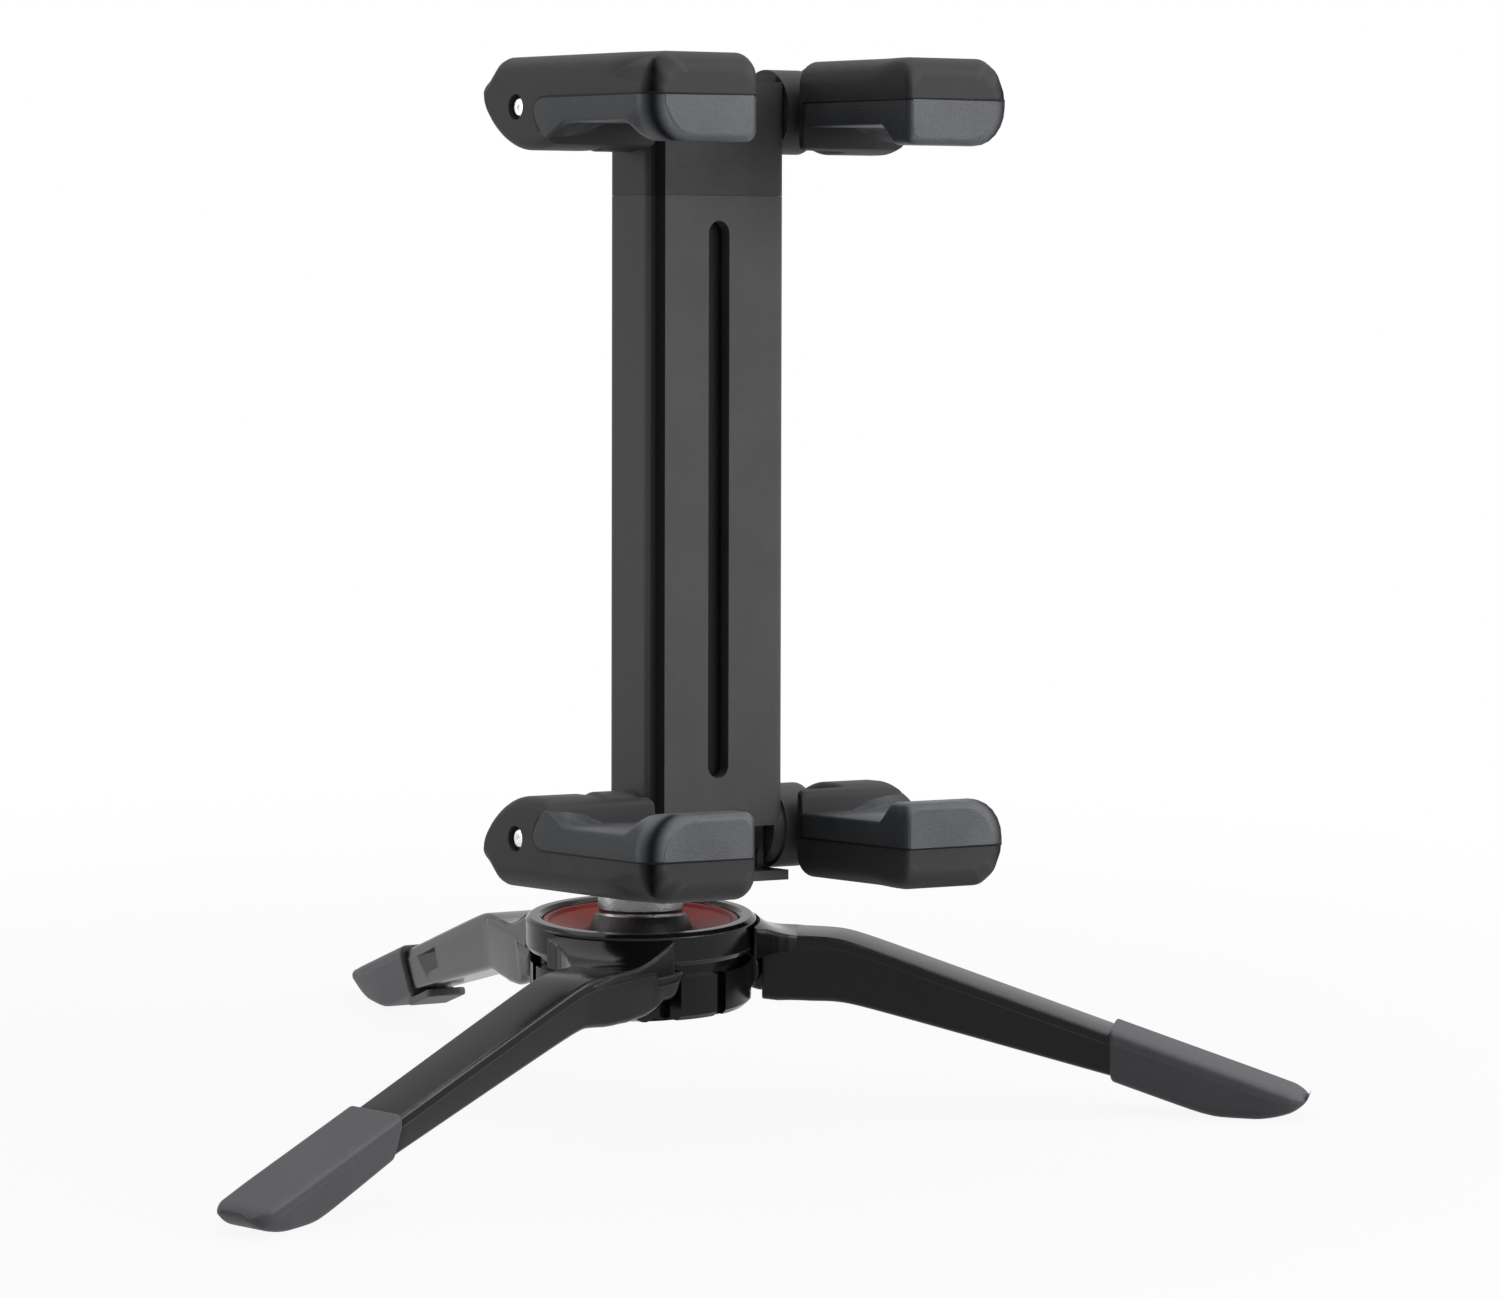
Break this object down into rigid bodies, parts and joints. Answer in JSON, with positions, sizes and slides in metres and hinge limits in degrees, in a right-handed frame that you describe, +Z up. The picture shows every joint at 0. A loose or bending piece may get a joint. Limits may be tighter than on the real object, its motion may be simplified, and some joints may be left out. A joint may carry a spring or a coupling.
{
  "type": "phone tripod",
  "caption": "Small table tripod with three folding legs, a ball head and a folding spring-loaded clamp that grips a phone by its long edges.",
  "frame": {"origin": "on the floor plane of the three feet, under the middle of the whole part's box; the hub's axis stands 3.634 mm along +X and 9.559 mm along -Y from it", "axes": "+Z up, -Y out of the clamp's front (its phone side) before the clamp leans, +X to the right of a person who looks along +Y"},
  "size_m": [0.095, 0.0896, 0.0877],
  "materials": {
    "gloss_black": "glossy moulded nylon, near black",
    "rim_black": "semi-gloss turned ring with a paler top face",
    "dark_red": "dark brown-red moulded insert",
    "bright_steel": "polished steel",
    "seat_nylon": "natural nylon friction seats",
    "satin_steel": "satin turned steel",
    "foot_rubber": "dark grey moulded rubber",
    "charcoal_plastic": "fine-textured charcoal plastic",
    "black_plastic": "plain black plastic",
    "pad_rubber": "slightly bluish grey grip rubber"
  },
  "bodies": {
    "hub": {"hub_body": "gloss_black", "rim_ring": "rim_black", "red_insert": "dark_red", "base_cap": "gloss_black", "spring_washer": "bright_steel", "leg_pin_right": "bright_steel", "leg_pin_back": "bright_steel", "leg_pin_left": "bright_steel"},
    "right_leg": {"leg_right": "gloss_black", "foot_right": "foot_rubber"},
    "back_leg": {"leg_back": "gloss_black", "foot_back": "foot_rubber"},
    "left_leg": {"leg_left": "gloss_black", "foot_left": "foot_rubber"},
    "pan": {"pan_seat": "seat_nylon"},
    "tilt": {"tilt_seat": "seat_nylon"},
    "ball": {"ball_stud": "satin_steel", "tripod_tab": "satin_steel"},
    "column": {"column_shell": "charcoal_plastic", "back_cover": "charcoal_plastic", "cover_screws": "bright_steel", "column_foot": "black_plastic", "lower_pin": "bright_steel", "spring_left": "bright_steel", "spring_right": "bright_steel"},
    "head": {"upper_head": "charcoal_plastic", "head_cap": "black_plastic", "slide_frame": "black_plastic", "head_screws": "bright_steel", "upper_pin": "bright_steel"},
    "lower_left_arm": {"arm_lower_left": "charcoal_plastic", "pad_lower_left": "pad_rubber"},
    "lower_right_arm": {"arm_lower_right": "charcoal_plastic", "pad_lower_right": "pad_rubber"},
    "upper_left_arm": {"arm_upper_left": "charcoal_plastic", "pad_upper_left": "pad_rubber"},
    "upper_right_arm": {"arm_upper_right": "charcoal_plastic", "pad_upper_right": "pad_rubber"}
  },
  "joints": [
    {"name": "right_leg_fold", "type": "hinge", "parent": "hub", "child": "right_leg", "pos_m": [0.01277, -0.01067, 0.0112], "axis": [0.6997, 0.7145, 0], "range_deg": [0, 71]},
    {"name": "back_leg_fold", "type": "hinge", "parent": "hub", "child": "back_leg", "pos_m": [0.00003, -0.0011, 0.0112], "axis": [-0.9686, 0.2487, 0], "range_deg": [0, 71]},
    {"name": "left_leg_fold", "type": "hinge", "parent": "hub", "child": "left_leg", "pos_m": [-0.00189, -0.01692, 0.0112], "axis": [0.2689, -0.9632, 0], "range_deg": [0, 71]},
    {"name": "ball_pan", "type": "hinge", "parent": "hub", "child": "pan", "pos_m": [0.00363, -0.00956, 0.014], "axis": [0, 0, 1], "continuous": true},
    {"name": "ball_tilt", "type": "hinge", "parent": "pan", "child": "tilt", "pos_m": [0.00363, -0.00956, 0.014], "axis": [0.9984, -0.0022, -0.0569], "range_deg": [-24, 14]},
    {"name": "ball_roll", "type": "hinge", "parent": "tilt", "child": "ball", "pos_m": [0.00363, -0.00956, 0.014], "axis": [-0.0022, 0.997, -0.0771], "range_deg": [-14, 8]},
    {"name": "tab_fold", "type": "hinge", "parent": "ball", "child": "column", "pos_m": [0.0042, -0.01669, 0.02417], "axis": [-0.9984, 0.0022, 0.0569], "range_deg": [0, 90]},
    {"name": "grip_slide", "type": "slide", "parent": "column", "child": "head", "axis": [0.0569, 0.0771, 0.9954], "range_m": [0, 0.036], "stiffness_N_per_m": 150, "springref_m": -0.02, "deforming": ["spring_left", "spring_right"]},
    {"name": "lower_left_arm_fold", "type": "hinge", "parent": "column", "child": "lower_left_arm", "pos_m": [0.0042, -0.01669, 0.02417], "axis": [-0.9984, 0.0022, 0.0569], "range_deg": [0, 90]},
    {"name": "lower_right_arm_fold", "type": "hinge", "parent": "column", "child": "lower_right_arm", "pos_m": [0.0042, -0.01669, 0.02417], "axis": [-0.9984, 0.0022, 0.0569], "range_deg": [0, 90]},
    {"name": "upper_left_arm_fold", "type": "hinge", "parent": "head", "child": "upper_left_arm", "pos_m": [0.00747, -0.01225, 0.0815], "axis": [0.9984, -0.0022, -0.0569], "range_deg": [0, 90]},
    {"name": "upper_right_arm_fold", "type": "hinge", "parent": "head", "child": "upper_right_arm", "pos_m": [0.00747, -0.01225, 0.0815], "axis": [0.9984, -0.0022, -0.0569], "range_deg": [0, 90]}
  ]
}
